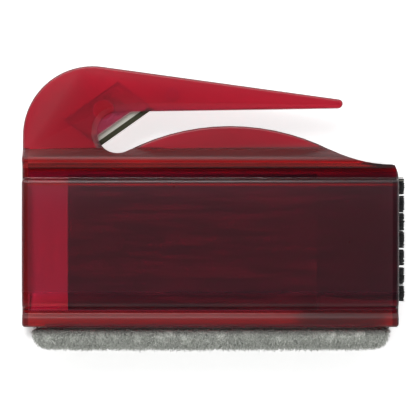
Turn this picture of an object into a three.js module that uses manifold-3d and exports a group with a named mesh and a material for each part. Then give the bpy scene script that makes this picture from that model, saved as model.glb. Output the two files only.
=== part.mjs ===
// A pocket letter opener with a slide-out bristle brush and a wiping pad.
// It lies on its back: +Z points out of the front face, +X from the head to the brush's
// mouth, and +Y from the pad to the beak. All sizes are millimetres.
// Sub-parts are drawn from the case's lower left corner, with heights from the rear face.

import * as THREE from 'three';
import { ConvexGeometry } from 'three/addons/geometries/ConvexGeometry.js';
import { mergeVertices } from 'three/addons/utils/BufferGeometryUtils.js';
import Module from 'manifold-3d';

const wasm = await Module();
wasm.setup();

// ---------------------------------------------------------------------------
// Driving dimensions
// ---------------------------------------------------------------------------

const ARC_STEP = 6;            // degrees between the points of a round stretch
const CLEARANCE = 0.3;         // air between pieces that touch or run on each other

// Case
const CASE_LENGTH = 92;
const CASE_DEPTH = 12;
const MID = CASE_DEPTH / 2;    // the parting plane of the two shells
const PARTING_GAP = 0.1;
const END_ROUNDING = 0.7;      // rounded edges at the two ends of the case
const PANEL_CROWN = 0.3;       // how far the front panel's edges lie under its middle

// Head, beak and the slitting mouth, seen from the front
const PLATE_HALF = 2.3;        // half thickness of the head plate
const PLATE_EDGE = 0.6;        // rounded edge of the head plate
const HEAD_RADIUS = 17.1;
const HEAD = new THREE.Vector2(HEAD_RADIUS, 46.8);
const BEAK_FALL = 7.86;        // slope of the beak's top edge, degrees
const BEAK_RISE = 0.9;         // slope of its lower edge, degrees
const TIP = new THREE.Vector2(77.4, 54.67);
const TIP_RADIUS = 1.08;
const THROAT = new THREE.Vector2(23.25, 47.65);
const THROAT_RADIUS = 5.12;
const HUMP = new THREE.Vector2(50.8, -5.96);
const TAIL = new THREE.Vector2(90.4, 72.1);
const MOUTH_CORNER_RADIUS = 7.1;
const MOUTH_CORNER_LOW = 35.9;
const MOUTH_CORNER_HIGH = 39.5;

// Slopes cut into the plate round the throat and under the beak
const THROAT_SLOPE = 1.3;
const BEAK_SLOPE = 2.2;
const BEAK_SLOPE_AT_TIP = 0.9;
const SLOPE_DEPTH = 1.2;

// Blade
const BLADE_EDGE_START = new THREE.Vector2(18.8, 44.2);
const BLADE_ANGLE = 35.3;
const BLADE_LENGTH = 15.9;
const BLADE_WIDTH = 10.2;
const BLADE_SKEW = 3.2;
const BLADE_THICKNESS = 0.4;
const BLADE_BEVEL = 1.24;
const BLADE_SHOWING = 2.65;    // width of the strip that the web leaves bare
const WEB_THICKNESS = 0.6;
const PEG = new THREE.Vector2(19.7, 53.2);
const PEG_RADIUS = 2.3;
const WELD_PIN = new THREE.Vector2(36.5, 57);
const WELD_PIN_RADIUS = 1.2;

// Cavity of the case and the brush carrier in it
const CAVITY_LEFT = 1.5;
const CARRIER_LEFT = 11.2;
const CARRIER_RIGHT = 71.8;
const CHANNEL_LOW = 12;
const CHANNEL_HIGH = 28.6;
const CHANNEL_DEPTH = 2.95;    // distance of the channel's floor from the parting plane
const GROOVE_COUNT = 5;
const GROOVE_PITCH = 5.55;
const GROOVE_MIDDLE = 22.5;
const GROOVE_WIDTH = 1.05;
const GROOVE_DEPTH = 0.8;

// Thumb button, its track in the rear shell and the brush's travel
const TRAVEL_BACK = 9;
const TRAVEL_OUT = 20;
const BUTTON = new THREE.Vector2(40.8, 20.3);
const BUTTON_LENGTH = 17.6;
const BUTTON_WIDTH = 13.2;
const STEM_LENGTH = 8;
const STEM_WIDTH = 4.4;
const TRACK_DEPTH = 1.5;
const TRACK_WALL = 1.2;

// Bristle tufts and the staples that hold them
const TUFTS_IN_ROW = 7;
const TUFT_MIDDLE = 21.3;
const TUFT_BASE_PITCH = 4.2;
const TUFT_TIP_PITCH = 4.4;
const TUFT_ROW_OFFSET = 1.35;
const TUFT_HOLE_RADIUS = 1.15;
const TUFT_HOLE_DEPTH = 4.3;
const TUFT_TIP_X = 93.2;

// Wiping pad under the case
const PAD_LEFT = 2.4;
const PAD_RIGHT = 89.8;
const PAD_BOTTOM = -5.3;
const PAD_HALF_DEPTH = 4.5;
const PAD_CORNER = 3;
const FOAM_LEFT = 6;
const FOAM_RIGHT = 86;

// ---------------------------------------------------------------------------
// Materials
// ---------------------------------------------------------------------------

function finish(color, roughness, metalness = 0) {
  return new THREE.MeshStandardMaterial({ color, roughness, metalness });
}

const redPlastic = () => finish(0x9e1c2c, 0.3);
const blackPlastic = () => finish(0x1d1b1c, 0.5);
const bladeSteel = () => finish(0xcfcabb, 0.3, 1);
const stapleSteel = () => finish(0xb8b8b4, 0.35, 1);
const bristleNylon = () => finish(0x141313, 0.6);
const greyFoam = () => finish(0x6f716c, 0.95);
const greyPile = () => finish(0x8f968a, 1);

// ---------------------------------------------------------------------------
// Helpers: points, shapes and solids
// ---------------------------------------------------------------------------

const radians = THREE.MathUtils.degToRad;
const degrees = THREE.MathUtils.radToDeg;

function polar(centre, radius, angle) {
  const turn = radians(angle);
  return new THREE.Vector2(
    centre.x + radius * Math.cos(turn),
    centre.y + radius * Math.sin(turn),
  );
}

function arc(centre, radius, from, to, step = ARC_STEP) {
  const count = Math.max(2, Math.ceil(Math.abs(to - from) / step));
  const points = [];
  for (let i = 0; i <= count; i += 1) {
    points.push(polar(centre, radius, from + (to - from) * (i / count)));
  }
  return points;
}

function ellipse(centre, radiusX, radiusY, from, to, step = ARC_STEP) {
  return arc(new THREE.Vector2(), 1, from, to, step).map(
    (p) => new THREE.Vector2(centre.x + radiusX * p.x, centre.y + radiusY * p.y),
  );
}

function angleFrom(centre, target) {
  return degrees(Math.atan2(target.y - centre.y, target.x - centre.x));
}

// Turns a corner [x, y, radius] of a closed outline into the points of its fillet.
function fillet(corner, before, after) {
  const [x, y, radius = 0] = corner;
  const here = new THREE.Vector2(x, y);
  if (radius === 0) {
    return [here];
  }
  const back = new THREE.Vector2(before[0], before[1]).sub(here).normalize();
  const ahead = new THREE.Vector2(after[0], after[1]).sub(here).normalize();
  const half = Math.acos(back.dot(ahead)) / 2;
  const centre = back.clone().add(ahead).normalize();
  centre.multiplyScalar(radius / Math.sin(half)).add(here);
  const reach = radius / Math.tan(half);
  const from = angleFrom(centre, back.multiplyScalar(reach).add(here));
  const to = angleFrom(centre, ahead.multiplyScalar(reach).add(here));
  const turn = to - from - 360 * Math.round((to - from) / 360);
  return arc(centre, radius, from, from + turn, 4 * ARC_STEP);
}

function rounded(corners) {
  const count = corners.length;
  return corners.flatMap((corner, i) => (
    fillet(corner, corners[(i + count - 1) % count], corners[(i + 1) % count])
  ));
}

function solidOf(geometry) {
  const bare = geometry.clone();
  bare.deleteAttribute('normal');
  bare.deleteAttribute('uv');
  const merged = mergeVertices(bare, 1e-4);
  return new wasm.Manifold(new wasm.Mesh({
    numProp: 3,
    vertProperties: new Float32Array(merged.attributes.position.array),
    triVerts: new Uint32Array(merged.index.array),
  }));
}

function geometryOf(solid) {
  const mesh = solid.getMesh();
  const geometry = new THREE.BufferGeometry();
  geometry.setAttribute('position', new THREE.BufferAttribute(mesh.vertProperties, 3));
  geometry.setIndex(new THREE.BufferAttribute(mesh.triVerts, 1));
  geometry.computeVertexNormals();
  return geometry;
}

function join(solids) {
  return solids.reduce((sum, solid) => sum.add(solid));
}

function cut(solid, tools) {
  return tools.reduce((rest, tool) => rest.subtract(tool), solid);
}

// A prism that stands on height low, with an optional rounded edge at both ends.
function prism(points, low, high, edge = 0) {
  const geometry = new THREE.ExtrudeGeometry(new THREE.Shape(points), {
    depth: high - low - 2 * edge,
    bevelEnabled: edge > 0,
    bevelThickness: edge,
    bevelSize: edge,
    bevelOffset: -edge,
    bevelSegments: 3,
  });
  geometry.translate(0, 0, low + edge);
  return solidOf(geometry);
}

// The same, lying along X: its outline is drawn in y and in height from the parting plane.
function bar(points, left, right, edge = 0) {
  const geometry = new THREE.ExtrudeGeometry(new THREE.Shape(points), {
    depth: right - left - 2 * edge,
    bevelEnabled: edge > 0,
    bevelThickness: edge,
    bevelSize: edge,
    bevelOffset: -edge,
    bevelSegments: 3,
  });
  const turn = new THREE.Matrix4().set(0, 0, 1, 0, 1, 0, 0, 0, 0, 1, 0, 0, 0, 0, 0, 1);
  geometry.applyMatrix4(turn);
  geometry.translate(left + edge, 0, MID);
  return solidOf(geometry);
}

function box(x0, x1, y0, y1, z0, z1) {
  const geometry = new THREE.BoxGeometry(x1 - x0, y1 - y0, z1 - z0);
  geometry.translate((x0 + x1) / 2, (y0 + y1) / 2, (z0 + z1) / 2);
  return solidOf(geometry);
}

// A cylinder or cone along Z.
function post(centre, lowRadius, highRadius, low, high, sides = 32) {
  const geometry = new THREE.CylinderGeometry(highRadius, lowRadius, high - low, sides);
  geometry.rotateX(Math.PI / 2);
  geometry.translate(centre.x, centre.y, (low + high) / 2);
  return solidOf(geometry);
}

function stadium(centre, length, width) {
  const straight = (length - width) / 2;
  const right = new THREE.Vector2(centre.x + straight, centre.y);
  const left = new THREE.Vector2(centre.x - straight, centre.y);
  return [
    ...arc(right, width / 2, -90, 90, 15),
    ...arc(left, width / 2, 90, 270, 15),
  ];
}

// ---------------------------------------------------------------------------
// Outlines of the head and of the case
// ---------------------------------------------------------------------------

const humpRadius = HUMP.distanceTo(THROAT) - THROAT_RADIUS;
const tailRadius = HUMP.distanceTo(TAIL) - humpRadius;

// From the tail over the hump, round the throat, out to the tip and back over the head.
function upperEdge(tailStart) {
  return [
    ...arc(TAIL, tailRadius, tailStart, angleFrom(TAIL, HUMP), 4),
    ...arc(HUMP, humpRadius, angleFrom(HUMP, TAIL), angleFrom(HUMP, THROAT), 4).slice(1),
    ...arc(THROAT, THROAT_RADIUS, angleFrom(THROAT, HUMP), BEAK_RISE - 270).slice(1),
    ...arc(TIP, TIP_RADIUS, BEAK_RISE - 90, 90 - BEAK_FALL, 18),
    ...arc(HEAD, HEAD_RADIUS, 90 - BEAK_FALL, 180, 4),
  ];
}

// The head plate; its lower part is hidden in the walls of the case.
function plateOutline() {
  const low = MOUTH_CORNER_LOW;
  const right = CASE_LENGTH - 4;
  const tailStart = -degrees(Math.acos((right - TAIL.x) / tailRadius));
  return [
    new THREE.Vector2(0, low),
    new THREE.Vector2(right, low),
    ...upperEdge(tailStart),
  ];
}

// Everything that the case may fill: its ridges are cut to the hump and the throat.
function caseOutline() {
  const room = 5;
  const corner = new THREE.Vector2(CASE_LENGTH - MOUTH_CORNER_RADIUS, MOUTH_CORNER_LOW);
  const cornerTop = degrees(Math.asin((MOUTH_CORNER_HIGH - corner.y) / MOUTH_CORNER_RADIUS));
  return [
    new THREE.Vector2(-room, -room),
    new THREE.Vector2(CASE_LENGTH + room, -room),
    new THREE.Vector2(CASE_LENGTH + room, MOUTH_CORNER_LOW),
    ...arc(corner, MOUTH_CORNER_RADIUS, 0, cornerTop),
    ...upperEdge(-90),
    new THREE.Vector2(-room, HEAD.y),
  ];
}

// One side of the case's section, from the pad's edge up to the head plate.
function caseSide(crown) {
  const panelLow = 9.2;
  const panelHigh = 35;
  const top = MID - crown;
  const panel = [];
  for (let i = 1; i < 8; i += 1) {
    const along = i / 8;
    const rise = crown * (1 - (2 * along - 1) ** 2);
    panel.push([panelLow + (panelHigh - panelLow) * along, top + rise]);
  }
  return [
    [0, 5, 1],
    [2.4, 5, 1],
    [3.3, 4.2, 0.4],
    [4.4, 4.2, 0.4],
    [5.4, 5.3, 1.5],
    [8.6, top, 6],
    ...panel,
    [35.9, top, 1],
    [36.3, 4.4, 0.4],
    [38.9, 4.4, 0.4],
    [40.3, 5.5, 1],
    [41.5, 5.5, 1],
    [43.6, PLATE_HALF],
  ];
}

function mirrored(side) {
  return side.map(([y, height, radius]) => [y, -height, radius]).reverse();
}

function caseSection() {
  return rounded([...caseSide(PANEL_CROWN), ...mirrored(caseSide(0))]);
}

function cavitySide() {
  return [
    [3.8, 3.1],
    [5, 3.1],
    [8, 4.75, 0.8],
    [34.7, 4.75, 0.4],
    [34.9, 3.1],
    [38, 3.1],
  ];
}

function carrierSide() {
  return [
    [4.15, 2.8],
    [5.3, 2.8],
    [8.2, 4.4, 0.6],
    [34.35, 4.4, 0.3],
    [34.55, 2.8],
    [37.4, 2.8],
  ];
}

// ---------------------------------------------------------------------------
// Blade
// ---------------------------------------------------------------------------

// A point at a distance along the cutting edge and another one back from it.
function bladePoint(along, back) {
  const turned = new THREE.Vector2(along, back).rotateAround(
    new THREE.Vector2(),
    radians(BLADE_ANGLE),
  );
  return turned.add(BLADE_EDGE_START);
}

function bladeOutline(margin) {
  const slant = BLADE_SKEW / BLADE_WIDTH;
  const side = margin * Math.hypot(1, slant);
  const low = -margin;
  const high = BLADE_WIDTH + margin;
  return [
    bladePoint(-side - slant * low, low),
    bladePoint(BLADE_LENGTH + side - slant * low, low),
    bladePoint(BLADE_LENGTH + side - slant * high, high),
    bladePoint(-side - slant * high, high),
  ];
}

// The wedge of steel that grinding takes off one side of the cutting edge.
function grinding(side) {
  const reach = 3;
  const surface = MID + side * (BLADE_THICKNESS / 2);
  const edge = MID + side * 0.03;
  const off = MID + side * BLADE_THICKNESS;
  const corners = [];
  for (const along of [-reach, BLADE_LENGTH + reach]) {
    for (const [back, height] of [[BLADE_BEVEL, surface], [BLADE_BEVEL, off], [-0.2, off], [-0.2, edge]]) {
      const p = bladePoint(along, back);
      corners.push(new THREE.Vector3(p.x, p.y, height));
    }
  }
  return solidOf(new ConvexGeometry(corners));
}

function makeBlade() {
  const half = BLADE_THICKNESS / 2;
  const blank = prism(bladeOutline(0), MID - half, MID + half);
  const hole = post(PEG, PEG_RADIUS + CLEARANCE, PEG_RADIUS + CLEARANCE, 0, CASE_DEPTH);
  return cut(blank, [hole, grinding(1), grinding(-1)]);
}

function bladePocket() {
  const half = BLADE_THICKNESS / 2 + CLEARANCE;
  return prism(bladeOutline(CLEARANCE), MID - half, MID + half);
}

// Thin webs over the blade, in the part of the throat that its bare strip doesn't need.
function makeWeb(side) {
  const near = BLADE_THICKNESS / 2 + CLEARANCE;
  const outline = [
    bladePoint(0.4, BLADE_SHOWING),
    bladePoint(11.6, BLADE_SHOWING),
    bladePoint(9.5, BLADE_SHOWING + 2),
    bladePoint(6.5, BLADE_SHOWING + 3.6),
    bladePoint(2, BLADE_SHOWING + 3.2),
  ];
  const heights = [MID + side * near, MID + side * (near + WEB_THICKNESS)];
  return prism(outline, Math.min(...heights), Math.max(...heights));
}

// ---------------------------------------------------------------------------
// Case
// ---------------------------------------------------------------------------

// The slope under the beak on one face, narrower towards the tip.
function beakSlope(side) {
  const over = 1;
  const start = new THREE.Vector2(THROAT.x, THROAT.y + THROAT_RADIUS);
  const rise = Math.tan(radians(BEAK_RISE));
  const ends = [[start.x - 1, BEAK_SLOPE], [TIP.x + TIP_RADIUS, BEAK_SLOPE_AT_TIP]];
  const high = MID + side * PLATE_HALF;
  const corners = [];
  for (const [x, width] of ends) {
    const y = start.y + (x - start.x) * rise;
    const low = high - side * SLOPE_DEPTH * (width / BEAK_SLOPE);
    corners.push(new THREE.Vector3(x, y, low));
    corners.push(new THREE.Vector3(x, y - over, low));
    corners.push(new THREE.Vector3(x, y - over, high + side * over));
    corners.push(new THREE.Vector3(x, y + width + over * (BEAK_SLOPE / SLOPE_DEPTH), high + side * over));
  }
  return solidOf(new ConvexGeometry(corners));
}

// The same slope round the throat.
function throatSlope(side) {
  const low = MID + side * (PLATE_HALF - SLOPE_DEPTH);
  const high = MID + side * (PLATE_HALF + 0.5);
  const small = THROAT_RADIUS;
  const large = THROAT_RADIUS + THROAT_SLOPE * ((SLOPE_DEPTH + 0.5) / SLOPE_DEPTH);
  return side > 0
    ? post(THROAT, small, large, low, high, 60)
    : post(THROAT, large, small, high, low, 60);
}

function makeWholeCase() {
  const plate = prism(plateOutline(), MID - PLATE_HALF, MID + PLATE_HALF, PLATE_EDGE);
  const slopes = [1, -1].flatMap((side) => [beakSlope(side), throatSlope(side)]);
  const tube = bar(caseSection(), 0, CASE_LENGTH, END_ROUNDING);
  const trim = prism(caseOutline(), -1, CASE_DEPTH + 1);
  return join([cut(plate, slopes), tube.intersect(trim)]);
}

const cavity = bar(
  rounded([...cavitySide(), ...mirrored(cavitySide())]),
  CAVITY_LEFT,
  CASE_LENGTH + 5,
);

// The channel under the case that the pad's backing strip is glued into.
const padChannel = box(
  FOAM_LEFT - CLEARANCE,
  FOAM_RIGHT + CLEARANCE,
  -1,
  0.9,
  MID - 3.4,
  MID + 3.4,
);

const wholeCase = makeWholeCase();

function halfCase(low, high) {
  const half = wholeCase.intersect(box(-10, 110, -10, 80, low, high));
  return cut(half, [cavity, padChannel, bladePocket()]);
}

// The front shell carries the peg that holds the blade and a pin for the weld.
function makeFrontShell() {
  const shell = halfCase(MID + PARTING_GAP / 2, CASE_DEPTH + 1);
  const top = MID + 1;
  const pegEnd = MID - (BLADE_THICKNESS + CLEARANCE) / 2;
  const peg = post(PEG, PEG_RADIUS, PEG_RADIUS, pegEnd, top);
  const pin = post(WELD_PIN, WELD_PIN_RADIUS, WELD_PIN_RADIUS, MID - 1.2, top, 20);
  return join([shell, makeWeb(1), peg, pin]);
}

function trackMiddle() {
  return new THREE.Vector2(BUTTON.x + (TRAVEL_OUT - TRAVEL_BACK) / 2, BUTTON.y);
}

// The rear shell has the sunken track of the thumb button, with a slot for its stem.
function makeRearShell() {
  const travel = TRAVEL_BACK + TRAVEL_OUT;
  const margin = 2 * CLEARANCE;
  const middle = trackMiddle();
  const trackLength = BUTTON_LENGTH + travel + margin;
  const trackWidth = BUTTON_WIDTH + margin;
  const wall = 2 * TRACK_WALL - margin / 2;
  const island = stadium(middle, trackLength + wall, trackWidth + wall);
  const slot = stadium(middle, STEM_LENGTH + travel + margin, STEM_WIDTH + margin);
  const track = stadium(middle, trackLength, trackWidth);
  const floor = TRACK_DEPTH + TRACK_WALL;
  const shell = join([
    halfCase(-1, MID - PARTING_GAP / 2),
    prism(island, 0.5, floor),
    makeWeb(-1),
  ]);
  const pinSocket = WELD_PIN_RADIUS + CLEARANCE;
  return cut(shell, [
    prism(track, -1, TRACK_DEPTH),
    prism(slot, -1, floor + 1),
    post(WELD_PIN, pinSocket, pinSocket, MID - 1.5, MID + 1, 20),
  ]);
}

// ---------------------------------------------------------------------------
// Brush
// ---------------------------------------------------------------------------

// Tufts stand in two rows; each leans a little outwards, so that they fill the mouth.
function tuftPlaces() {
  const places = [];
  for (const [row, side] of [['front', 1], ['rear', -1]]) {
    for (let i = 0; i < TUFTS_IN_ROW; i += 1) {
      const step = i - (TUFTS_IN_ROW - 1) / 2;
      places.push({
        name: `${row}_${i + 1}`,
        y: TUFT_MIDDLE + step * TUFT_BASE_PITCH,
        tipY: TUFT_MIDDLE + step * TUFT_TIP_PITCH,
        z: MID + side * TUFT_ROW_OFFSET,
      });
    }
  }
  return places;
}

function tuftHole(place) {
  const over = 1;
  const depth = TUFT_HOLE_DEPTH + over;
  const geometry = new THREE.CylinderGeometry(TUFT_HOLE_RADIUS, TUFT_HOLE_RADIUS, depth, 12);
  geometry.rotateZ(Math.PI / 2);
  geometry.translate(CARRIER_RIGHT + over - depth / 2, place.y, place.z);
  return solidOf(geometry);
}

// Narrow grooves along the carrier's front face, stopped at the button's oval boss.
function carrierGrooves() {
  const top = MID + 4.4;
  const boss = prism(ellipse(BUTTON, BUTTON_LENGTH / 2, BUTTON_WIDTH / 2, 0, 354), 0, CASE_DEPTH);
  const grooves = [];
  for (let i = 0; i < GROOVE_COUNT; i += 1) {
    const y = GROOVE_MIDDLE + (i - (GROOVE_COUNT - 1) / 2) * GROOVE_PITCH;
    const half = GROOVE_WIDTH / 2;
    grooves.push(box(14, 61, y - half, y + half, top - GROOVE_DEPTH, top + 1).subtract(boss));
  }
  return grooves;
}

// The hollow of the oval boss, with three ribs across its floor.
function bossHollow() {
  const top = MID + 4.4;
  const rim = 1.1;
  const outline = ellipse(BUTTON, BUTTON_LENGTH / 2 - rim, BUTTON_WIDTH / 2 - rim, 0, 354);
  const ribs = [-3.3, 0, 3.3].map((offset) => {
    const y = BUTTON.y + offset;
    return box(BUTTON.x - 6, BUTTON.x + 6, y - 0.5, y + 0.5, top - 2, top - 0.3);
  });
  return cut(prism(outline, top - 0.8, top + 1), ribs);
}

function makeCarrier() {
  const rear = mirrored(carrierSide());
  const channel = [
    [CHANNEL_HIGH, -4.4],
    [CHANNEL_HIGH, -CHANNEL_DEPTH],
    [CHANNEL_LOW, -CHANNEL_DEPTH],
    [CHANNEL_LOW, -4.4],
  ];
  rear.splice(3, 0, ...channel);
  const block = bar(rounded([...carrierSide(), ...rear]), CARRIER_LEFT, CARRIER_RIGHT);
  const length = STEM_LENGTH + 2 * CLEARANCE;
  const width = STEM_WIDTH + 2 * CLEARANCE;
  const socket = prism(stadium(BUTTON, length, width), 0, 8.5);
  return cut(block, [
    socket,
    bossHollow(),
    ...carrierGrooves(),
    ...tuftPlaces().map(tuftHole),
  ]);
}

// An oval pad with grip grooves across it, on a stem that snaps into the carrier.
function makeThumbButton() {
  const low = 0.25;
  const high = TRACK_DEPTH - CLEARANCE;
  const oval = ellipse(BUTTON, BUTTON_LENGTH / 2, BUTTON_WIDTH / 2, 0, 354);
  const pad = prism(oval, low, high);
  const stem = prism(stadium(BUTTON, STEM_LENGTH, STEM_WIDTH), high - 0.2, 8.2);
  const grooves = [-2, -1, 0, 1, 2].map((step) => {
    const x = BUTTON.x + step * 2.4;
    const half = 0.5;
    return box(x - half, x + half, BUTTON.y - 4, BUTTON.y + 4, 0, low + 0.35);
  });
  return cut(join([pad, stem]), grooves);
}

// One tuft: narrow in its hole, spreading to its cut ends, wider across than deep.
function tuftGeometry(length) {
  const profile = [
    new THREE.Vector2(0, 0),
    new THREE.Vector2(0.8, 0),
    new THREE.Vector2(0.8, TUFT_HOLE_DEPTH),
    new THREE.Vector2(1.6, length * 0.6),
    new THREE.Vector2(2.0, length - 0.3),
    new THREE.Vector2(1.7, length),
    new THREE.Vector2(0, length),
  ];
  const geometry = new THREE.LatheGeometry(profile, 12);
  geometry.rotateZ(-Math.PI / 2);
  geometry.scale(1, 1, 0.64);
  return geometry;
}

// ---------------------------------------------------------------------------
// Wiping pad
// ---------------------------------------------------------------------------

function padOutline(left, right, top, bottom, corner) {
  return rounded([
    [left, top],
    [left + 0.8, bottom, corner],
    [right - 0.8, bottom, corner],
    [right, top],
  ]);
}

function makePileCover() {
  const outline = padOutline(PAD_LEFT, PAD_RIGHT, -CLEARANCE, PAD_BOTTOM, PAD_CORNER);
  const cover = prism(outline, MID - PAD_HALF_DEPTH, MID + PAD_HALF_DEPTH, 1);
  const hollow = box(
    FOAM_LEFT - CLEARANCE,
    FOAM_RIGHT + CLEARANCE,
    PAD_BOTTOM + 1.2,
    1,
    MID - 3.4,
    MID + 3.4,
  );
  return cut(cover, [hollow]);
}

// ---------------------------------------------------------------------------
// The assembly
// ---------------------------------------------------------------------------

const model = new THREE.Group();
const middleX = TUFT_TIP_X / 2;
const middleY = (PAD_BOTTOM + HEAD.y + HEAD_RADIUS) / 2;
model.position.set(-middleX, -middleY, 0);

function addPiece(group, name, geometry, material) {
  const mesh = new THREE.Mesh(geometry, material);
  mesh.name = name;
  group.add(mesh);
  return mesh;
}

const casing = new THREE.Group();
addPiece(casing, 'front_shell', geometryOf(makeFrontShell()), redPlastic());
addPiece(casing, 'rear_shell', geometryOf(makeRearShell()), redPlastic());
addPiece(casing, 'blade', geometryOf(makeBlade()), bladeSteel());
model.add(casing);

const pad = new THREE.Group();
const strip = new THREE.BoxGeometry(FOAM_RIGHT - FOAM_LEFT, 1, 6.2);
addPiece(pad, 'pad_backing', strip, blackPlastic()).position.set(
  (FOAM_LEFT + FOAM_RIGHT) / 2,
  0.1,
  MID,
);
const foam = new THREE.BoxGeometry(FOAM_RIGHT - FOAM_LEFT, 2.9, 6);
addPiece(pad, 'pad_foam', foam, greyFoam()).position.set(
  (FOAM_LEFT + FOAM_RIGHT) / 2,
  -2.15,
  MID,
);
addPiece(pad, 'pile_cover', geometryOf(makePileCover()), greyPile());
model.add(pad);

const brush = new THREE.Group();
addPiece(brush, 'brush_carrier', geometryOf(makeCarrier()), blackPlastic());
addPiece(brush, 'thumb_button', geometryOf(makeThumbButton()), blackPlastic());
const holeBottom = CARRIER_RIGHT - TUFT_HOLE_DEPTH;
const tuftStart = holeBottom + 0.8;
for (const place of tuftPlaces()) {
  const lean = Math.atan((place.tipY - place.y) / (TUFT_TIP_X - tuftStart));
  const length = (TUFT_TIP_X - tuftStart) / Math.cos(lean);
  const tuft = addPiece(brush, `tuft_${place.name}`, tuftGeometry(length), bristleNylon());
  tuft.position.set(tuftStart, place.y, place.z);
  tuft.rotation.z = lean;
  const wire = new THREE.BoxGeometry(0.3, 1.5, 1.2);
  const staple = addPiece(brush, `staple_${place.name}`, wire, stapleSteel());
  staple.position.set(holeBottom + 0.35, place.y, place.z);
}
model.add(brush);

export default model;
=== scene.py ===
# %% [markdown]
# # A letter opener with a slide-out brush and a wiping pad
#
# The frame of the object, which is its parts at their real sizes, already exists. This lesson gives it
# its looks: rounded edges on the moulded parts, hair on the brush, pile on the wiping pad, and a finish
# for every surface. Everything is in metres, in the frame of the parts: X runs along the case towards the
# bristles, Y runs up through the head, and Z comes out of the front face.

# %% Load the frame
import math
import random

import bpy
from mathutils import Matrix, Vector


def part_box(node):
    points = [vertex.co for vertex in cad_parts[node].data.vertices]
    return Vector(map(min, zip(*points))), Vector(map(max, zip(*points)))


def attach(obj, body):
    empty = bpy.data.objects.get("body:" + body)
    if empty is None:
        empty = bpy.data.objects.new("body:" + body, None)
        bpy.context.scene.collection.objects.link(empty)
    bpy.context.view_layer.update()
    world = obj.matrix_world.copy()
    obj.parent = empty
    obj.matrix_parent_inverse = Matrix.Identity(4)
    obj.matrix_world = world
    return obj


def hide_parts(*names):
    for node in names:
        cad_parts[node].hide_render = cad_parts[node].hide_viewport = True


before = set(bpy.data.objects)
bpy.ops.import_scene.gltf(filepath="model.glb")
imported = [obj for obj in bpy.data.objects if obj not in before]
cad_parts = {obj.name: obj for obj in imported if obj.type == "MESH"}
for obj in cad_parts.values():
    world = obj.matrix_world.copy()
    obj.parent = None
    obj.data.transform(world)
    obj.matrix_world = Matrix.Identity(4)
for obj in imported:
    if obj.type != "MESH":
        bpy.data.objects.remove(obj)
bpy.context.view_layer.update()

MM = 0.001
case_low, case_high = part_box("front_shell")
print("case from", [round(c / MM, 1) for c in case_low], "to", [round(c / MM, 1) for c in case_high])

# %% [markdown]
# ## Camera
#
# The tool lies on its back and the camera looks straight down on it. A long lens from well above keeps
# the sides of the case from leaning outwards, which is how a small thing looks in a catalogue.

# %% Camera
LENS = 200
SENSOR = 36
FIELD = 102.6 * MM
FRONT_FACE = 10 * MM
VIEW_CENTRE = -0.7 * MM

lens = bpy.data.cameras.new("camera")
lens.lens = LENS
lens.sensor_width = SENSOR
camera = bpy.data.objects.new("camera", lens)
camera.location = (VIEW_CENTRE, VIEW_CENTRE, FRONT_FACE + FIELD * LENS / SENSOR)
bpy.context.scene.collection.objects.link(camera)
bpy.context.scene.camera = camera
bpy.context.scene.view_settings.view_transform = "Standard"
print("camera at", round(camera.location.z, 3), "m")

# %% [markdown]
# ## Shader maths
#
# A pattern is easier to read as a sum than as a web of nodes. `Wire` wraps one output socket, and adding
# or multiplying it adds the Math node. `Shader` holds a node tree: its `node` method adds any other node
# from its type, its settings and what its sockets get.

# %% Wires and shaders
class Wire:
    """One output socket, used in sums."""

    def __init__(self, shader, socket):
        self.shader = shader
        self.socket = socket

    def _maths(self, operation, first, second):
        return self.shader.node("Math", {"operation": operation}, {0: first, 1: second})

    def __add__(self, other):
        return self._maths("ADD", self, other)

    def __sub__(self, other):
        return self._maths("SUBTRACT", self, other)

    def __rsub__(self, other):
        return self._maths("SUBTRACT", other, self)

    def __mul__(self, other):
        return self._maths("MULTIPLY", self, other)

    __radd__ = __add__
    __rmul__ = __mul__


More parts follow.
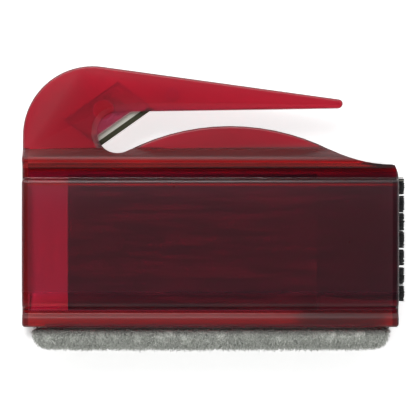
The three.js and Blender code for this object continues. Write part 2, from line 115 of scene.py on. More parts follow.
class Shader:
    """A node tree that is written in Python."""

    def __init__(self, tree):
        self.tree = tree

    def node(self, kind, settings=None, sockets=None, result=0):
        """Adds a node, sets it up, feeds its sockets, and returns one of its outputs."""
        made = self.tree.nodes.new("ShaderNode" + kind)
        for name, value in (settings or {}).items():
            setattr(made, name, value)
        for name, value in (sockets or {}).items():
            if isinstance(value, Wire):
                self.tree.links.new(value.socket, made.inputs[name])
            else:
                made.inputs[name].default_value = value
        return Wire(self, made.outputs[result])

    def place(self):
        """The point on the surface, in millimetres."""
        metres = self.node("TexCoord", result="Object")
        return self.node("VectorMath", {"operation": "SCALE"}, {0: metres, "Scale": 1 / MM})

    def along(self, place, axis):
        return self.node("SeparateXYZ", None, {0: place}, result=axis)

    def step(self, value, low, high):
        """0 below low, 1 above high, and a smooth rise between them."""
        ends = {"Value": value, "From Min": low, "From Max": high}
        return self.node("MapRange", {"interpolation_type": "SMOOTHSTEP"}, ends)

    def band(self, value, low, high, soft):
        """1 between low and high, with soft edges."""
        return self.step(value, low, low + soft) * (1 - self.step(value, high - soft, high))

    def noise(self, place, size, detail=2.0, stretch=(1, 1, 1)):
        """A cloudy pattern from 0 to 1 whose lumps are size millimetres across."""
        scaled = self.node("Mapping", None, {"Vector": place, "Scale": stretch})
        return self.node("TexNoise", None, {"Vector": scaled, "Scale": 1 / size, "Detail": detail})

    def mix(self, amount, first, second):
        """A colour between two colours."""
        sockets = {0: amount, 6: first, 7: second}
        return self.node("Mix", {"data_type": "RGBA"}, sockets, result=2)

    def normal(self):
        """The way the surface faces, in the frame of the parts."""
        return self.node("NewGeometry", result="Normal")

    def disc(self, place, centre, radius):
        """1 inside a round spot, seen along Z."""
        flat = self.node("VectorMath", {"operation": "MULTIPLY"}, {0: place, 1: (1, 1, 0)})
        away = self.node("VectorMath", {"operation": "DISTANCE"}, {0: flat, 1: (*centre, 0)}, result="Value")
        return 1 - self.step(away, radius - 0.2, radius + 0.2)

    def bump(self, height, depth):
        """A normal from a height pattern that is depth millimetres deep."""
        return self.node("Bump", None, {"Height": height, "Strength": 1.0, "Distance": depth * MM})


class Finish(Shader):
    """A material with one Principled shader."""

    def __init__(self, name, **constants):
        self.material = bpy.data.materials.new(name)
        self.material.use_nodes = True
        super().__init__(self.material.node_tree)
        self.principled = self.tree.nodes["Principled BSDF"]
        for socket, value in constants.items():
            self.principled.inputs[socket.replace("_", " ")].default_value = value

    def feed(self, socket, wire):
        self.tree.links.new(wire.socket, self.principled.inputs[socket])


def colour(red, green, blue):
    return (red, green, blue, 1.0)


# %% [markdown]
# ## Light
#
# A small glossy object is lit by what it reflects. It lies in a bright tent: the walls of the tent are
# white, the top, where the camera looks in, is dark, and one large softbox stands beyond the head of the
# tool. Flat faces then keep their own deep colour, and edges that lean towards the softbox catch a pale
# line. The floor is a light table, which glows a little, so that the clear plastic is lit from below and
# the shadows stay faint. Two soft-edged patches of painted shade dim it where cards would: one under the
# case, and a darker one under the bristles, which also darkens the floor's colour there and keeps the glow
# out of the gaps between them.

# %% Tent and softbox
WALL_FADES_FROM = 0.60
WALL_ENDS_AT = 0.95
WALL_GLOW = 0.84
TOP_GLOW = 0.04
HEAD_SIDE_GAIN = 0.62

world = bpy.data.worlds.new("tent")
bpy.context.scene.world = world
world.use_nodes = True
tent = Shader(world.node_tree)
direction = tent.node("TexCoord", result="Object")
height = tent.along(direction, "Z")
towards_head = tent.along(direction, "Y")
wall = 1 - tent.step(height, WALL_FADES_FROM, WALL_ENDS_AT)
glow = (wall * WALL_GLOW + TOP_GLOW) * (1.0 + HEAD_SIDE_GAIN * towards_head)
lining = world.node_tree.nodes["Background"]
lining.inputs["Color"].default_value = colour(1.0, 1.0, 1.0)
tent.tree.links.new(glow.socket, lining.inputs["Strength"])


def softbox(name, place, size, power):
    """A large rectangular lamp that points at the origin."""
    lamp = bpy.data.lights.new(name, "AREA")
    lamp.shape = "RECTANGLE"
    lamp.size = size[0]
    lamp.size_y = size[1]
    lamp.energy = power
    holder = bpy.data.objects.new(name, lamp)
    holder.location = place
    holder.rotation_euler = (-Vector(place)).to_track_quat("-Z", "Y").to_euler()
    bpy.context.scene.collection.objects.link(holder)
    return holder


SOFTBOX_PLACE = (-0.12, 0.42, 0.46)
SOFTBOX_SIZE = (0.50, 0.22)
SOFTBOX_POWER = 1.5

softbox("head_softbox", SOFTBOX_PLACE, SOFTBOX_SIZE, SOFTBOX_POWER)

# %% Floor
FLOOR_SIZE = 4
FLOOR_DROP = 0.5 * MM
CASE_LEFT = case_low.x / MM
CASE_RIGHT = case_high.x / MM
CASE_FOOT = case_low.y / MM
FLOOR_SHADE_LEFT = CASE_LEFT - 1.5
FLOOR_SHADE_RIGHT = CASE_RIGHT - 0.5
FLOOR_SHADE_FOOT = CASE_FOOT - 4.5
FLOOR_SHADE_TOP = CASE_FOOT + 42.0
FLOOR_SHADE_EDGE = 3.0
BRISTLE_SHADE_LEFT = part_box("brush_carrier")[1].x / MM - 6.0
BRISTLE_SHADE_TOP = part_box("brush_carrier")[1].y / MM + 1.0

bpy.ops.object.select_all(action="DESELECT")
bpy.ops.mesh.primitive_plane_add(size=FLOOR_SIZE, location=(0, 0, -FLOOR_DROP))
floor = bpy.context.object
floor.name = "floor"
light_table = Finish("light_table", Roughness=0.9, Emission_Strength=1.0)
spot = light_table.place()


def shade_patch(left, right, foot, top):
    """1 on a rectangle of painted shade on the light table, with soft edges."""
    across = light_table.band(light_table.along(spot, "X"), left, right, FLOOR_SHADE_EDGE)
    return across * light_table.band(light_table.along(spot, "Y"), foot, top, FLOOR_SHADE_EDGE)


# Painted shade on the light table: its glow is dimmed under the case, and under the bristles both the glow
# and the floor's own colour go nearly black.
case_floor_shade = shade_patch(FLOOR_SHADE_LEFT, FLOOR_SHADE_RIGHT, FLOOR_SHADE_FOOT, FLOOR_SHADE_TOP)
bristle_floor_shade = shade_patch(BRISTLE_SHADE_LEFT, FLOOR_SHADE_RIGHT, FLOOR_SHADE_FOOT, BRISTLE_SHADE_TOP)
lit = light_table.mix(case_floor_shade, colour(0.66, 0.66, 0.66), colour(0.16, 0.16, 0.16))
light_table.feed("Emission Color", light_table.mix(bristle_floor_shade, lit, colour(0.02, 0.02, 0.02)))
light_table.feed("Base Color", light_table.mix(bristle_floor_shade, colour(0.9, 0.9, 0.9), colour(0.2, 0.2, 0.2)))
floor.data.materials.append(light_table.material)
print("tent, softbox and floor made")

# %% [markdown]
# ## Finishes of the hard parts
#
# **Clear red plastic.** The case is tinted polystyrene. Its colour is in its depth, so it is made as
# glass with an absorbing volume: thin walls glow red over the white floor and thick edges go nearly
# black. The panel and plate have a fine matte texture from the mould, the ridges are duller, and the
# grooves between them are polished, so roughness follows height up the case.
#
# A real case has one tint throughout. Here the surface tint also changes from place to place, as painted
# shade and painted light: painted shade darkens the head plate, the grooves and the dark root below the
# ridge, the ridge top, the side walls, the mouth, the solid left end wall and the spot over the peg, and
# painted light lightens the plastic over the hidden blade. Those tints were chosen for light effects that
# the volume alone doesn't give.

# %% Clear red plastic
PANEL_FOOT = CASE_FOOT + 8.2
PANEL_TOP = CASE_FOOT + 35.9
PLATE_FOOT = CASE_FOOT + 43.6
RAIL_TOP = CASE_FOOT + 3.6
GROOVE_FOOT = CASE_FOOT + 36.3
GROOVE_TOP = CASE_FOOT + 40.2
ROOT_FOOT = CASE_FOOT + 38.7
RIDGE_FOOT = CASE_FOOT + 40.4
END_WALL = CASE_LEFT + 1.5
LIP_START = CASE_RIGHT - 1.6
PEG = (CASE_LEFT + 19.7, CASE_FOOT + 53.2)
PEG_RADIUS = 2.3
BLADE_ANGLE = math.radians(35.3)
BLADE_START = (CASE_LEFT + 18.8, CASE_FOOT + 44.2, 0)
BLADE_LENGTH = 15.9
BLADE_WIDTH = 10.2
BLADE_SLANT = 3.2 / BLADE_WIDTH
SIDE_BELOW = 0.40
FLAT_ABOVE = 0.90
RIDGE_SPARED = 0.85
POLISHED = 0.12
PANEL_MATTE = 0.16
PLATE_MATTE = 0.20
RAIL_MATTE = 0.34
HANDLING_MARKS = 0.03
GRAIN_DEPTH = 0.0025


def on_blade(finish, place):
    """The same point with X along the cutting edge and Y behind it."""
    sockets = {"Vector": place, "Location": BLADE_START, "Rotation": (0, 0, BLADE_ANGLE)}
    return finish.node("Mapping", {"vector_type": "TEXTURE"}, sockets)


def over_blade(finish, place):
    """1 on the plastic that covers the blade."""
    turned = on_blade(finish, place)
    behind_edge = finish.along(turned, "Y")
    from_end = finish.along(turned, "X") + BLADE_SLANT * behind_edge
    return finish.band(from_end, 0.0, BLADE_LENGTH, 0.4) * finish.band(behind_edge, 0.0, BLADE_WIDTH, 0.4)


def tint_with_painted_shade(finish, place, plate, ridge):
    """The surface tint, with painted shade and painted light region by region."""
    up = finish.along(place, "Y")
    across = finish.along(place, "X")
    # Masks of painted shade: the grooves, the dark root below the ridge, the mouth, the solid left end wall,
    # and the side walls where the surface turns away from the camera, spared on the ridge.
    groove_shade = finish.band(up, GROOVE_FOOT, GROOVE_TOP, 0.5)
    root = finish.band(up, ROOT_FOOT, GROOVE_TOP, 0.4)
    mouth_shade = finish.step(across, LIP_START - 0.1, LIP_START + 0.1)
    end = 1 - finish.step(across, END_WALL - 0.1, END_WALL + 0.1)
    facing = finish.node("Math", {"operation": "ABSOLUTE"}, {0: finish.along(finish.normal(), "Z")})
    side = (1 - finish.step(facing, SIDE_BELOW, FLAT_ABOVE)) * (1 - RIDGE_SPARED * ridge)
    # Painted shade darkens the head plate, grooves, root, ridge top, mouth, end wall, peg spot and side
    # walls; painted light lightens the plastic over the hidden blade.
    tint = finish.mix(plate, colour(1.0, 0.55, 0.69), colour(0.66, 0.44, 0.52))
    tint = finish.mix(over_blade(finish, place), tint, colour(0.79, 0.49, 0.59))
    tint = finish.mix(groove_shade, tint, colour(0.46, 0.08, 0.20))
    tint = finish.mix(root, tint, colour(0.14, 0.02, 0.05))
    tint = finish.mix(ridge, tint, colour(0.72, 0.40, 0.48))
    tint = finish.mix(mouth_shade, tint, colour(0.45, 0.12, 0.24))
    tint = finish.mix(end * (1 - plate), tint, colour(0.60, 0.22, 0.32))
    tint = finish.mix(finish.disc(place, PEG, PEG_RADIUS), tint, colour(0.64, 0.38, 0.45))
    return finish.mix(side, tint, colour(0.10, 0.01, 0.02))


def clear_red():
    """Glass with an absorbing volume, textured by region and tinted with painted shade and painted light."""
    finish = Finish("clear_red_plastic", IOR=1.49, Transmission_Weight=0.98, Specular_IOR_Level=0.2)
    place = finish.place()
    up = finish.along(place, "Y")
    panel = finish.band(up, PANEL_FOOT, PANEL_TOP, 0.5)
    plate = finish.step(up, PLATE_FOOT - 0.5, PLATE_FOOT + 0.5)
    ridge = finish.band(up, RIDGE_FOOT, PLATE_FOOT, 0.4)
    rail = ridge + (1 - finish.step(up, RAIL_TOP - 0.6, RAIL_TOP))
    finish.feed("Base Color", tint_with_painted_shade(finish, place, plate, ridge))
    handling = finish.noise(place, size=6.0, detail=3.0)
    matte = POLISHED + PANEL_MATTE * panel + PLATE_MATTE * plate + RAIL_MATTE * rail
    finish.feed("Roughness", matte + (handling - 0.5) * HANDLING_MARKS)
    grain = finish.noise(place, size=0.5, detail=2.0)
    texture = grain * (panel + 0.8 * plate + 0.5 * rail)
    finish.feed("Normal", finish.bump(texture, GRAIN_DEPTH))
    absorption = {"Color": colour(0.985, 0.0, 0.40), "Density": 1000.0}
    absorbed = finish.node("VolumeAbsorption", None, absorption)
    finish.tree.links.new(absorbed.socket, finish.tree.nodes["Material Output"].inputs["Volume"])
    return finish.material


red_plastic = clear_red()

# %% [markdown]
# **Black plastic.** The slide and its thumb button are moulded in black with a spark-eroded grain.
# Sliding leaves long faint streaks in the colour, and rubbing makes the roughness uneven.

# %% Black plastic
def black_moulding():
    """Black with a fine grain and long streaks."""
    finish = Finish("black_moulding", IOR=1.5)
    place = finish.place()
    grain = finish.noise(place, size=0.22, detail=3.0)
    rubbed = finish.noise(place, size=3.5, detail=4.0, stretch=(0.3, 1, 1))
    drawn = finish.step(finish.noise(place, size=1.4, detail=4.0, stretch=(0.10, 1, 1)), 0.40, 0.66)
    finish.feed("Base Color", finish.mix(drawn, colour(0.0, 0.004, 0.003), colour(0.075, 0.045, 0.045)))
    finish.feed("Roughness", 0.38 + 0.22 * rubbed)
    finish.feed("Normal", finish.bump(grain, 0.008))
    return finish.material


black_plastic = black_moulding()

# %% [markdown]
# **Blade steel.** The blade is rolled strip, ground to an edge on its lower side. The flat carries fine
# rolling lines along the blade and the ground face is darker, with marks across it. Both are laid out
# from the cutting edge, which is the straight line through the two lowest corners of the blade. The part
# hidden in the case has painted light: a pale pink colour and less metal, so that it isn't shaded dark
# inside the plastic.

# %% Blade steel
GROUND_WIDTH = 1.24
BARE_WIDTH = 2.65


def blade_steel_finish():
    """Rolled steel with a darker ground face, both laid out from the cutting edge, and painted light where
    the case hides it.
    """
    finish = Finish("blade_steel")
    place = finish.place()
    turned = on_blade(finish, place)
    behind_edge = finish.along(turned, "Y")
    ground = 1 - finish.step(behind_edge, GROUND_WIDTH - 0.06, GROUND_WIDTH + 0.06)
    rolling = finish.noise(turned, size=0.12, detail=3.0, stretch=(0.05, 1, 1))
    grinding = finish.noise(turned, size=0.10, detail=3.0, stretch=(1, 0.06, 1))
    flat = finish.mix(rolling, colour(0.97, 0.94, 0.80), colour(1.0, 1.0, 0.93))
    face = finish.mix(grinding, colour(0.06, 0.06, 0.035), colour(0.17, 0.17, 0.11))
    # Painted light on the part hidden in the case: pale pink and less metal, so it isn't shaded dark.
    hidden_painted_light = finish.step(behind_edge, BARE_WIDTH - 0.1, BARE_WIDTH + 0.1)
    finish.feed("Metallic", 0.62 - 0.45 * hidden_painted_light)
    bare = finish.mix(ground, flat, face)
    finish.feed("Base Color", finish.mix(hidden_painted_light, bare, colour(0.95, 0.80, 0.78)))
    finish.feed("Roughness", 0.46 + 0.18 * rolling - 0.10 * ground)
    finish.feed("Normal", finish.bump(rolling * (1 - ground) + grinding * ground, 0.006))
    return finish.material


blade_steel = blade_steel_finish()


def wire_finish():
    """Flat drawn wire, for the staples."""
    finish = Finish("staple_wire", Metallic=1.0)
    drawn = finish.noise(finish.place(), size=0.15, detail=3.0, stretch=(1, 0.1, 1))
    finish.feed("Base Color", finish.mix(drawn, colour(0.55, 0.52, 0.45), colour(0.78, 0.75, 0.66)))
    finish.feed("Roughness", 0.25 + 0.2 * drawn)
    return finish.material


staple_wire = wire_finish()
print("hard finishes:", [m.name for m in (red_plastic, black_plastic, blade_steel, staple_wire)])

# %% [markdown]
# ## Moulded and stamped parts
#
# The frame's parts have the right shape but razor edges, and no real moulding has those. Each one is
# copied, its loose triangles are merged and its flat faces are made whole, and a narrow Bevel modifier
# rounds every edge sharper than about thirty degrees. That keeps every size and gives the light a line to
# catch. A bevel can fold a whole face that has grooves sunk into it, so the flat faces of the two grooved
# parts are cut into triangles first.

# %% Rounded copies of the frame's parts
MERGE = 0.02 * MM
FLAT_ANGLE = math.radians(0.6)
SHARP_ANGLE = math.radians(32)
SMOOTH_ANGLE = math.radians(35)


def pick(*pieces):
    """Selects these objects alone, the first one active."""
    bpy.ops.object.select_all(action="DESELECT")
    for piece in pieces:
        piece.select_set(True)
    bpy.context.view_layer.objects.active = pieces[0]


def triangles(piece):
    return sum(len(face.vertices) - 2 for face in piece.data.polygons)


def rounded(node, name, radius, material, body, grooved=False):
    """A copy of a frame part with rounded edges, which stands for it."""
    piece = bpy.data.objects.new(name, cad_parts[node].data.copy())
    bpy.context.scene.collection.objects.link(piece)
    pick(piece)
    bpy.ops.object.mode_set(mode="EDIT")
    bpy.ops.mesh.select_all(action="SELECT")
    bpy.ops.mesh.remove_doubles(threshold=MERGE)
    bpy.ops.mesh.dissolve_limited(angle_limit=FLAT_ANGLE)
    if grooved:
        bpy.ops.mesh.quads_convert_to_tris(quad_method="BEAUTY", ngon_method="BEAUTY")
    bpy.ops.object.mode_set(mode="OBJECT")
    rounding = piece.modifiers.new("rounding", "BEVEL")
    rounding.width = radius
    rounding.segments = 2
    rounding.limit_method = "ANGLE"
    rounding.angle_limit = SHARP_ANGLE
    rounding.miter_outer = "MITER_ARC"
    bpy.ops.object.modifier_apply(modifier="rounding")
    bpy.ops.object.shade_smooth_by_angle(angle=SMOOTH_ANGLE)
    piece.data.materials.clear()
    piece.data.materials.append(material)
    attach(piece, body)
    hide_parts(node)
    print(name, triangles(piece), "triangles")
    return piece


rounded("front_shell", "case_front", 0.15 * MM, red_plastic, "case")
rounded("rear_shell", "case_rear", 0.15 * MM, red_plastic, "case")
rounded("blade", "slitter_blade", 0.03 * MM, blade_steel, "case")
rounded("brush_carrier", "brush_slide", 0.12 * MM, black_plastic, "brush", grooved=True)
rounded("thumb_button", "slide_button", 0.12 * MM, black_plastic, "brush", grooved=True)

# %% Wire of the staples
for row in ("front", "rear"):
    for number in range(1, 8):
        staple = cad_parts[f"staple_{row}_{number}"]
        staple.data.materials.clear()
        staple.data.materials.append(staple_wire)
print("staples: 14 in drawn wire")

# %% [markdown]
# ## Bristles
#
# Each tuft is a bundle of nylon filaments, folded in two and stapled into its hole. One filament is
# modelled: a thin five-sided bar, cut across so that it can bend, and bowed by a Simple Deform modifier,
# a little or a lot. Copies are packed in the hole like sunflower seeds and bow outwards to the trimmed
# face of the brush, where they fill the gaps between the tufts. In the top tuft of each row, the filaments
# on its upper side are paler.

# %% Nylon
def nylon(name, dark, pale):
    """Nylon between two shades, streaked along the bristle."""
    finish = Finish(name, IOR=1.53, Specular_IOR_Level=0.2)
    place = finish.place()
    streak = finish.noise(place, size=0.3, detail=2.0, stretch=(0.05, 1, 1))
    finish.feed("Base Color", finish.mix(streak, dark, pale))
    finish.feed("Roughness", 0.32 + 0.15 * streak)
    return finish.material


black_nylon = nylon("black_nylon", colour(0.005, 0.005, 0.006), colour(0.014, 0.013, 0.014))
pale_nylon = nylon("pale_nylon", colour(0.16, 0.15, 0.12), colour(0.34, 0.32, 0.27))

# %% One filament
FILAMENT_LENGTH = 25 * MM
FILAMENT_RADIUS = 0.1 * MM
FILAMENT_SIDES = 5
FILAMENT_CUTS = 4
FILAMENT_BOWS = (5, 9, 12)
END_SHARE = 0.95


def select_long_edges(mesh, shortest):
    """Leaves only the edges that are longer than shortest selected."""
    for part in (mesh.vertices, mesh.edges, mesh.polygons):
        part.foreach_set("select", [False] * len(part))
    for edge in mesh.edges:
        start, end = (mesh.vertices[corner].co for corner in edge.vertices)
        edge.select = (end - start).length > shortest


def straighten(mesh):
    """Turns a bowed hair so that its tip is on the X axis again."""
    reach = max(vertex.co.length for vertex in mesh.vertices)
    end = [vertex.co for vertex in mesh.vertices if vertex.co.length > END_SHARE * reach]
    tip = sum(end, Vector()) / len(end)
    mesh.transform(tip.rotation_difference(Vector((1, 0, 0))).to_matrix().to_4x4())


def hair(name, length, root, tip, sides, cuts, bow):
    """One hair that lies along X from the origin, bowed by the angle bow."""
    bpy.ops.object.select_all(action="DESELECT")
    bpy.ops.mesh.primitive_cone_add(
        vertices=sides, radius1=root, radius2=tip, depth=length,
        location=(length / 2, 0, 0), rotation=(0, math.pi / 2, 0))
    strand = bpy.context.object
    strand.name = name
    bpy.ops.object.transform_apply(location=True, rotation=True, scale=True)
    bpy.context.tool_settings.mesh_select_mode = (False, True, False)
    select_long_edges(strand.data, length / 2)
    bpy.ops.object.mode_set(mode="EDIT")
    bpy.ops.mesh.subdivide(number_cuts=cuts)
    bpy.ops.object.mode_set(mode="OBJECT")
    bend = strand.modifiers.new("bow", "SIMPLE_DEFORM")
    bend.deform_method = "BEND"
    bend.deform_axis = "Z"
    bend.angle = bow
    bpy.ops.object.modifier_apply(modifier="bow")
    bpy.ops.object.shade_smooth()
    straighten(strand.data)
    if sum(v.co.y for v in strand.data.vertices) < 0:
        strand.data.transform(Matrix.Rotation(math.pi, 4, "X"))
    return strand


filaments = [
    hair(f"filament_{bow}", FILAMENT_LENGTH, FILAMENT_RADIUS, FILAMENT_RADIUS,
         FILAMENT_SIDES, FILAMENT_CUTS, math.radians(bow))
    for bow in FILAMENT_BOWS
]
print("filament:", triangles(filaments[0]), "triangles")

# %% Fourteen tufts
GOLDEN_ANGLE = math.pi * (3 - math.sqrt(5))
FILAMENTS = 72
HOLE_RADIUS = 1.0 * MM
TIP_REACH = Vector((1.98, 1.35)) * MM
TIP_TRIM = 0.45 * MM
TIP_EXTRA = 0.35 * MM
SQUARENESS = 0.12
STRAY = (-0.10, 0.12)
ROLL_SPREAD = 0.7
PALER_FROM = 0.55
TUFTS_IN_ROW = 7
TIP_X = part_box("tuft_front_1")[1].x + TIP_EXTRA


def tuft_axis(node):
    """Where a tuft starts and where the middle of its trimmed face is."""
    low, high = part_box(node)
    ends = []
    for x in (low.x, high.x):
        corners = [v.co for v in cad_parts[node].data.vertices if abs(v.co.x - x) < 0.5 * MM]
        middle = sum(corners, Vector()) / len(corners)
        ends.append(Vector((x, middle.y, middle.z)))
    return ends


def lay_hair(strand, start, end, roll, owner):
    """One copy of a strand from start to end, turned about its own length."""
    copy = bpy.data.objects.new("strand", strand.data.copy())
    bpy.context.scene.collection.objects.link(copy)
    reach = end - start
    turn = reach.to_track_quat("X", "Z").to_matrix().to_4x4()
    stretch = Matrix.Diagonal((reach.length / FILAMENT_LENGTH, 1, 1, 1))
    copy.matrix_world = Matrix.Translation(start) @ turn @ Matrix.Rotation(roll, 4, "X") @ stretch
    copy.data.materials.append(owner)
    return copy


def tuft(node, seed, paler_top):
    """A bundle of filaments in place of a frame tuft."""
    chance = random.Random(seed)
    root, tip = tuft_axis(node)
    hairs = []
    for number in range(FILAMENTS):
        out = math.sqrt((number + 0.5) / FILAMENTS)
        way = number * GOLDEN_ANGLE
        across = Vector((math.cos(way), math.sin(way))) * out
        start = root + Vector((0, across.x, across.y)) * HOLE_RADIUS
        square = Vector((across.x * (1 + SQUARENESS * across.y ** 2), across.y))
        stray = 1.0 + chance.uniform(*STRAY)
        end = Vector((
            TIP_X - chance.random() ** 2 * TIP_TRIM,
            tip.y + square.x * TIP_REACH.x * stray,
            tip.z + square.y * TIP_REACH.y * stray))
        # Two in three filaments on the upper side of the top tuft are paler.
        is_paler = paler_top and across.x > PALER_FROM and number % 3 > 0
        owner = pale_nylon if is_paler else black_nylon
        roll = way + chance.uniform(-ROLL_SPREAD, ROLL_SPREAD)
        hairs.append(lay_hair(chance.choice(filaments), start, end, roll, owner))
    pick(*hairs)
    bpy.ops.object.join()
    bundle = bpy.context.object
    bpy.ops.object.transform_apply(location=True, rotation=True, scale=True)
    bundle.name = node.replace("tuft", "bristles")
    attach(bundle, "brush")
    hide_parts(node)
    return bundle


for row, first_seed in (("front", 100), ("rear", 200)):
    for number in range(1, TUFTS_IN_ROW + 1):
        made = tuft(f"tuft_{row}_{number}", first_seed + number, paler_top=number == TUFTS_IN_ROW)
print("tufts: 14 of", FILAMENTS, "filaments,", triangles(made), "triangles each")

for strand in filaments:
    bpy.data.objects.remove(strand)

# %% [markdown]
# ## The wiping pad
#
# Under the case a strip of foam is covered with short pile, like the nap of a polishing cloth. The cover
# is soft, so its shape comes from a cloth simulation: a block a little smaller than the pad is remeshed,
# and a light pressure swells it everywhere but at its glued top edge. Cloth behaves badly at this tiny
# size, so the block is simulated twenty times larger and then scaled back, and the foam that holds the
# real cover in is stood for by a limit on how far a point may move.

# %% Pile and foam finishes
PAD_SHADE_FOOT = CASE_FOOT - 2.6
PAD_SHADE_TOP = CASE_FOOT - 0.3


def pile_finish():
    """Grey-green pile, with painted shadow of the case close to it."""
    finish = Finish("grey_pile", Roughness=0.95)
    finish.principled.inputs["Sheen Weight"].default_value = 0.35
    finish.principled.inputs["Sheen Roughness"].default_value = 0.5
    place = finish.place()
    locks = finish.noise(place, size=0.45, detail=4.0)
    hairs = finish.noise(place, size=0.2, detail=1.0, stretch=(1, 0.4, 1))
    # Painted shadow: the pile goes dark close to the case, where the case's overhang would shade it.
    case_shadow = finish.step(finish.along(place, "Y"), PAD_SHADE_FOOT, PAD_SHADE_TOP)
    green = finish.mix(locks, colour(0.42, 0.45, 0.40), colour(0.82, 0.87, 0.79))
    pale = finish.mix(finish.step(hairs, 0.42, 0.62), green, colour(0.98, 0.98, 0.94))
    finish.feed("Base Color", finish.mix(case_shadow, pale, colour(0.24, 0.21, 0.20)))
    finish.feed("Normal", finish.bump(hairs, 0.12))
    return finish.material


def foam_finish():
    """Open-cell foam."""
    finish = Finish("grey_foam", Roughness=0.9)
    place = finish.place()
    cells = finish.node("TexVoronoi", None, {"Vector": place, "Scale": 2.5}, result="Distance")
    finish.feed("Base Color", finish.mix(cells, colour(0.10, 0.10, 0.10), colour(0.34, 0.34, 0.33)))
    finish.feed("Normal", finish.bump(cells, 0.2))
    return finish.material


def strip_finish():
    """The woven strip that holds the pad."""
    finish = Finish("backing_strip", IOR=1.5)
    weave = finish.noise(finish.place(), size=0.4, detail=3.0, stretch=(1, 0.4, 1))
    finish.feed("Base Color", finish.mix(weave, colour(0.10, 0.10, 0.095), colour(0.20, 0.20, 0.19)))
    finish.feed("Roughness", 0.6 + 0.2 * weave)
    return finish.material


grey_pile = pile_finish()
for node, material in (("pad_foam", foam_finish()), ("pad_backing", strip_finish())):
    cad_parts[node].data.materials.clear()
    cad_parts[node].data.materials.append(material)

# %% The block before it swells
BIG = 20
PILE_LENGTH = 1.4 * MM
PILE_DEPTH = 0.9 * MM
CORNER_RADIUS = 2.6 * MM
EDGE_RADIUS = 1.6 * MM
pad_low, pad_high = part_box("pile_cover")
pad_size = pad_high - pad_low
pad_middle = (pad_low + pad_high) / 2


def bevel_edges(piece, width, chosen):
    """Rounds the edges whose two ends satisfy chosen."""
    mesh = piece.data
    pick(piece)
    bpy.context.tool_settings.mesh_select_mode = (False, True, False)
    for part in (mesh.vertices, mesh.edges, mesh.polygons):
        part.foreach_set("select", [False] * len(part))
    for edge in mesh.edges:
        edge.select = chosen(*(mesh.vertices[corner].co for corner in edge.vertices))
    bpy.ops.object.mode_set(mode="EDIT")
    bpy.ops.mesh.bevel(offset=width, segments=4, affect="EDGES")
    bpy.ops.object.mode_set(mode="OBJECT")


def pad_block():
    """A rounded block inside the pad's box, PILE_DEPTH clear of it except at the glued top."""
    bpy.ops.object.select_all(action="DESELECT")
    bpy.ops.mesh.primitive_cube_add(size=1, location=(0, 0, 0))
    block = bpy.context.object
    block.name = "wiping_pad"
    block.scale = (pad_size - Vector((2, 1, 2)) * PILE_DEPTH) * BIG
    block.location = (pad_middle + Vector((0, PILE_DEPTH / 2, 0))) * BIG
    bpy.ops.object.transform_apply(location=True, rotation=True, scale=True)
    near = 0.01 * MM * BIG
    foot = min(v.co.y for v in block.data.vertices)
    front = max(v.co.z for v in block.data.vertices)
    back = min(v.co.z for v in block.data.vertices)
    bevel_edges(block, CORNER_RADIUS * BIG, lambda start, end: (
        max(start.y, end.y) < foot + near and abs(start.x - end.x) < near))
    bevel_edges(block, EDGE_RADIUS * BIG, lambda start, end: min(start.z, end.z) > front - near)
    bevel_edges(block, EDGE_RADIUS * BIG, lambda start, end: max(start.z, end.z) < back + near)
    return block


block = pad_block()
print("pad block", [round(c / BIG / MM, 1) for c in block.dimensions], "mm")

# %% Swell it and give it pile
VOXEL = 0.55 * MM
PRESSURE = 4.0
SWELL_FRAMES = 20
SWELL = 0.35 * MM


def remesh(piece, size):
    """Even faces of about one size all over the piece."""
    pick(piece)
    even = piece.modifiers.new("even", "REMESH")
    even.mode = "VOXEL"
    even.voxel_size = size
    bpy.ops.object.modifier_apply(modifier="even")


def swell(piece):
    """Cloth pressure for SWELL_FRAMES, with the glued top held and no point moved more than SWELL."""
    before = [v.co.copy() for v in piece.data.vertices]
    top = max(v.co.y for v in piece.data.vertices)
    glued = [v.index for v in piece.data.vertices if v.co.y > top - VOXEL * BIG]
    held = piece.vertex_groups.new(name="glued")
    held.add(glued, 1.0, "REPLACE")
    pick(piece)
    cloth = piece.modifiers.new("cloth", "CLOTH")
    cloth.settings.use_pressure = True
    cloth.settings.uniform_pressure_force = PRESSURE
    cloth.settings.effector_weights.gravity = 0
    cloth.settings.vertex_group_mass = "glued"
    cloth.point_cache.frame_start = 1
    cloth.point_cache.frame_end = SWELL_FRAMES
    for number in range(1, SWELL_FRAMES + 1):
        bpy.context.scene.frame_set(number)
    bpy.ops.object.modifier_apply(modifier="cloth")
    bpy.context.scene.frame_set(1)
    limit = SWELL * BIG
    moved = 0.0
    for vertex, old in zip(piece.data.vertices, before):
        shift = vertex.co - old
        moved = max(moved, shift.length)
        if shift.length > limit:
            vertex.co = old + shift.normalized() * limit
        vertex.co.y = min(vertex.co.y, top)
    print("cloth moved up to", round(moved / BIG / MM, 2), "mm, held to", SWELL / MM, "mm")


remesh(block, VOXEL * BIG)
swell(block)
block.data.transform(Matrix.Scale(1 / BIG, 4))
block.data.update()
smooth = block.modifiers.new("smooth", "SUBSURF")
smooth.levels = 1
smooth.render_levels = 1
print("pad:", len(block.data.polygons), "faces before smoothing")

# %% [markdown]
# The pile itself is hair again, this time short, thick at the root and well bowed. Eleven hairs make one
# lock, and locks are set all over the cover except where it is glued. Each lies roughly downwards, as
# brushed pile does, but with enough scatter to look rubbed. Each hair is cut across once only, because
# there are thousands.

# %% Locks of pile
HAIRS_PER_LOCK = 11
LOCK_RADIUS = 0.75 * MM
LOCKS = 1200
PILE_ROOT = 0.10 * MM
PILE_TIP = 0.05 * MM
PILE_BOW = (25, 55)
LEAN_FORWARD = (0.1, 1.4)
LEAN_SIDEWAYS = (-0.8, 0.8)
LEAN_OUT = (0.45, 1.0)
HAIR_STRETCH = (0.7, 1.25)
ROOT_SINK = 0.08 * MM
GLUED_FACING = 0.7


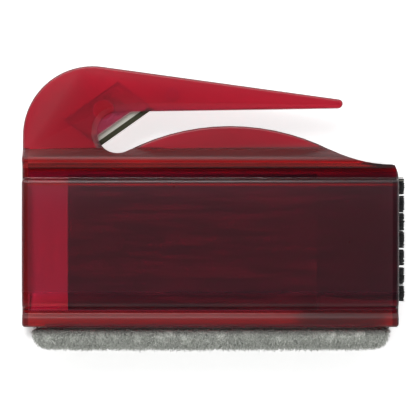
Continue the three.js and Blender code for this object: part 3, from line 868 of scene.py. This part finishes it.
def pile_lock(name, seed):
    """A small round clump of leaning hairs, rooted at the origin and standing along Z."""
    chance = random.Random(seed)
    bow = math.radians(chance.uniform(*PILE_BOW))
    strand = hair("pile_hair", PILE_LENGTH, PILE_ROOT, PILE_TIP, sides=3, cuts=1, bow=bow)
    hairs = []
    for number in range(HAIRS_PER_LOCK):
        out = LOCK_RADIUS * math.sqrt((number + 0.5) / HAIRS_PER_LOCK)
        way = number * GOLDEN_ANGLE
        root = Vector((math.cos(way), math.sin(way), 0)) * out
        lean = Vector([chance.uniform(*limits) for limits in (LEAN_FORWARD, LEAN_SIDEWAYS, LEAN_OUT)])
        copy = bpy.data.objects.new("strand", strand.data.copy())
        bpy.context.scene.collection.objects.link(copy)
        turn = lean.to_track_quat("X", "Z").to_matrix().to_4x4()
        size = Matrix.Diagonal((chance.uniform(*HAIR_STRETCH), 1, 1, 1))
        roll = Matrix.Rotation(chance.uniform(0, math.tau), 4, "X")
        copy.matrix_world = Matrix.Translation(root) @ turn @ roll @ size
        hairs.append(copy)
    pick(*hairs)
    bpy.ops.object.join()
    lock = bpy.context.object
    bpy.ops.object.transform_apply(location=True, rotation=True, scale=True)
    lock.name = name
    bpy.data.objects.remove(strand)
    return lock


locks = [pile_lock(f"lock_{seed}", seed) for seed in range(1, 5)]


def set_locks(cover):
    """Copies of the locks, rooted just under the cover's surface and joined into one piece."""
    chance = random.Random(9)
    faces = [face for face in cover.data.polygons if face.normal.y < GLUED_FACING]
    chosen = chance.sample(faces, min(LOCKS, len(faces)))
    spots = [(face.center.copy(), face.normal.copy()) for face in chosen]
    clumps = []
    for centre, normal in spots:
        down = Vector((chance.uniform(-0.9, 0.9), -1, chance.uniform(-0.3, 0.3)))
        side = normal.cross(down).normalized()
        along = side.cross(normal)
        turn = Matrix((along, side, normal)).transposed().to_4x4()
        copy = bpy.data.objects.new("clump", chance.choice(locks).data.copy())
        bpy.context.scene.collection.objects.link(copy)
        copy.matrix_world = Matrix.Translation(centre - normal * ROOT_SINK) @ turn
        clumps.append(copy)
    pick(*clumps)
    bpy.ops.object.join()
    pile = bpy.context.object
    bpy.ops.object.transform_apply(location=True, rotation=True, scale=True)
    pile.name = "pad_pile"
    return pile


pad_pile = set_locks(block)
for lock in locks:
    bpy.data.objects.remove(lock)
pick(block)
bpy.ops.object.modifier_apply(modifier="smooth")
bpy.ops.object.shade_smooth()

# %% Finish the pad
for piece in (block, pad_pile):
    piece.data.materials.clear()
    piece.data.materials.append(grey_pile)
    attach(piece, "case")
    print(piece.name, triangles(piece), "triangles")
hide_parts("pile_cover")
